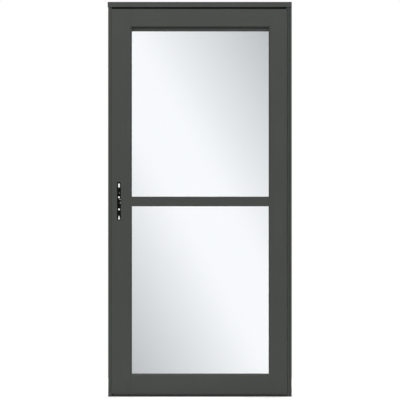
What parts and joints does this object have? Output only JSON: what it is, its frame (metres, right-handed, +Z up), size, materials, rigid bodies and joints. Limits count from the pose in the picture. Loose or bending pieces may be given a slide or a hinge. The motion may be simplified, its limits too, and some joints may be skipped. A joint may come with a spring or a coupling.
{
  "type": "retractable screen storm door",
  "caption": "Hung storm door in its own frame: hinged aluminium leaf, fixed lower glass, sliding upper sash and a screen rolled up in the head.",
  "frame": {"origin": "on the back of the latch jamb's mounting flange, at its foot and in the middle of its width", "axes": "+X from the latch side to the hinge side, +Y from outside to inside, +Z up"},
  "size_m": [0.9595, 0.0556, 2.057],
  "materials": {
    "frame_coating": "satin charcoal powder coat on extruded aluminium",
    "seal": "matt black extruded vinyl",
    "steel": "brushed zinc plated steel",
    "glass": "clear tempered float glass",
    "track_plastic": "dark extruded vinyl",
    "black_plastic": "moulded black nylon",
    "bare_aluminium": "mill finish tube",
    "screen_mesh": "charcoal glass fibre insect mesh, rolled",
    "cap_plastic": "moulded charcoal plastic",
    "black_lock": "black lock case"
  },
  "bodies": {
    "frame": {"latch_jamb": "frame_coating", "hinge_jamb": "frame_coating", "header": "frame_coating", "latch_jamb_seal": "seal", "hinge_jamb_seal": "seal", "header_seal": "seal", "strike_plate": "steel", "hinge_frame_leaf": "frame_coating", "hinge_pin": "steel", "header_cap_latch_side": "cap_plastic", "header_cap_hinge_side": "cap_plastic"},
    "leaf": {"hinge_door_leaf": "frame_coating", "latch_stile": "frame_coating", "hinge_stile": "frame_coating", "top_rail": "frame_coating", "bottom_rail": "frame_coating", "mid_rail": "frame_coating", "lower_glass": "glass", "upper_glass": "glass", "lower_bead_latch_side": "frame_coating", "lower_bead_hinge_side": "frame_coating", "lower_bead_bottom": "frame_coating", "lower_bead_top": "frame_coating", "latch_side_track": "track_plastic", "hinge_side_track": "track_plastic", "sash_latch_side": "frame_coating", "sash_hinge_side": "frame_coating", "sash_bottom_rail": "frame_coating", "sash_top_rail": "frame_coating", "sash_catch_latch_side": "black_plastic", "sash_catch_hinge_side": "black_plastic", "screen_pull_bar": "frame_coating", "screen_roller_tube": "bare_aluminium", "screen_roll": "screen_mesh", "roller_bracket_latch_side": "black_plastic", "roller_bracket_hinge_side": "black_plastic", "cassette_cover": "frame_coating", "lock_case": "black_lock", "lock_spindle_block": "black_lock", "lock_cylinder_block": "black_lock", "lock_face_plate": "steel", "latch_bolt": "steel", "bottom_expander": "track_plastic", "door_sweep": "seal", "sweep_cap_latch_side": "black_plastic", "sweep_cap_hinge_side": "black_plastic"}
  },
  "joints": [
    {"name": "door_swing", "type": "hinge", "parent": "frame", "child": "leaf", "pos_m": [0.92885, -0.0155, 0], "axis": [0, 0, 1], "range_deg": [0, 100]}
  ]
}
